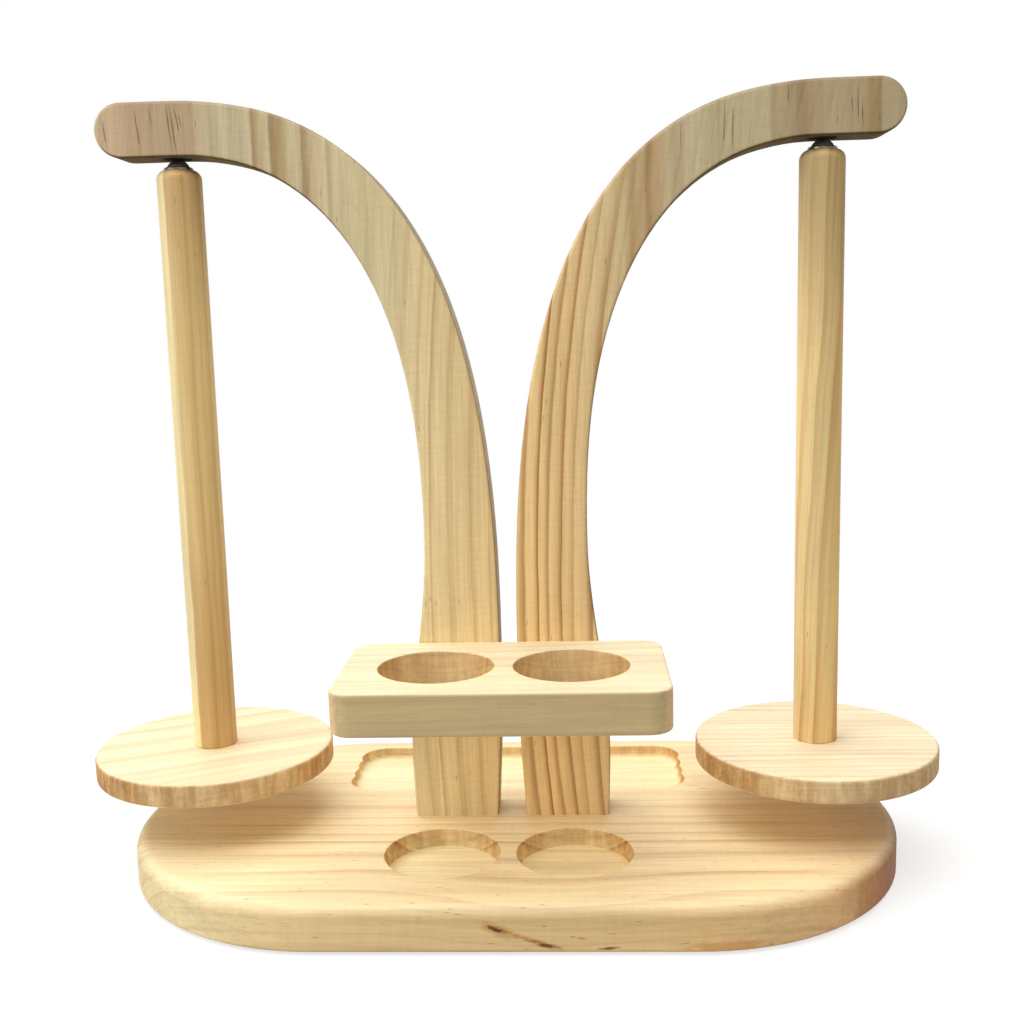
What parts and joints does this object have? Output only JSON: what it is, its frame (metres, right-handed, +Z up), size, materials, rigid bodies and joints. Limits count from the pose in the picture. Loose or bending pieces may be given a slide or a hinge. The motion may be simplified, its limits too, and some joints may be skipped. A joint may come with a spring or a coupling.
{
  "type": "pendulum yarn holder",
  "caption": "Wooden yarn holder: spindles with discs hang by magnets from curved arms, swing and spin over a round-ended board with a cup rack and a tray.",
  "frame": {"origin": "on the surface that the holder stands on, at the middle of its outer box", "axes": "+X to the right as seen from the rack's side, +Y to the back, from rack to tray, +Z up"},
  "size_m": [0.357, 0.178, 0.316],
  "materials": {
    "base_pine": "fine-sanded pine, clear matt finish",
    "rack_pine": "fine-sanded pine, clear matt finish",
    "arm_pine": "fine-sanded pine, clear matt finish",
    "rod_pine": "turned pine, clear matt finish",
    "disc_pine": "fine-sanded pine, clear matt finish",
    "magnet_nickel": "nickel-plated magnet",
    "ball_steel": "polished steel ball",
    "cup_steel": "turned steel",
    "screw_zinc": "zinc-plated steel",
    "pad_rubber": "matt anti-slip rubber"
  },
  "bodies": {
    "stand": {"base_board": "base_pine", "base_pads": "pad_rubber", "cup_rack": "rack_pine", "left_arm": "arm_pine", "left_arm_screws": "screw_zinc", "left_rack_screws": "screw_zinc", "left_magnet": "magnet_nickel", "right_arm": "arm_pine", "right_arm_screws": "screw_zinc", "right_rack_screws": "screw_zinc", "right_magnet": "magnet_nickel"},
    "left_pivot_ball": {"left_ball": "ball_steel"},
    "left_pivot_cup": {"left_ball_cup": "cup_steel"},
    "left_spindle": {"left_spindle_rod": "rod_pine", "left_spindle_disc": "disc_pine", "left_disc_screw": "screw_zinc"},
    "right_pivot_ball": {"right_ball": "ball_steel"},
    "right_pivot_cup": {"right_ball_cup": "cup_steel"},
    "right_spindle": {"right_spindle_rod": "rod_pine", "right_spindle_disc": "disc_pine", "right_disc_screw": "screw_zinc"}
  },
  "joints": [
    {"name": "left_pull_off", "type": "slide", "parent": "stand", "child": "left_pivot_ball", "axis": [0, -1, 0], "range_m": [0, 0.15]},
    {"name": "left_swing", "type": "hinge", "parent": "left_pivot_ball", "child": "left_pivot_cup", "pos_m": [-0.1285, 0.002, 0.28935], "axis": [1, 0, 0], "range_deg": [-12, 12]},
    {"name": "left_spin", "type": "hinge", "parent": "left_pivot_cup", "child": "left_spindle", "pos_m": [-0.1285, 0.002, 0.28935], "axis": [0, 0, 1], "continuous": true},
    {"name": "right_pull_off", "type": "slide", "parent": "stand", "child": "right_pivot_ball", "axis": [0, -1, 0], "range_m": [0, 0.15]},
    {"name": "right_swing", "type": "hinge", "parent": "right_pivot_ball", "child": "right_pivot_cup", "pos_m": [0.1285, 0.002, 0.28935], "axis": [1, 0, 0], "range_deg": [-12, 12]},
    {"name": "right_spin", "type": "hinge", "parent": "right_pivot_cup", "child": "right_spindle", "pos_m": [0.1285, 0.002, 0.28935], "axis": [0, 0, 1], "continuous": true}
  ]
}
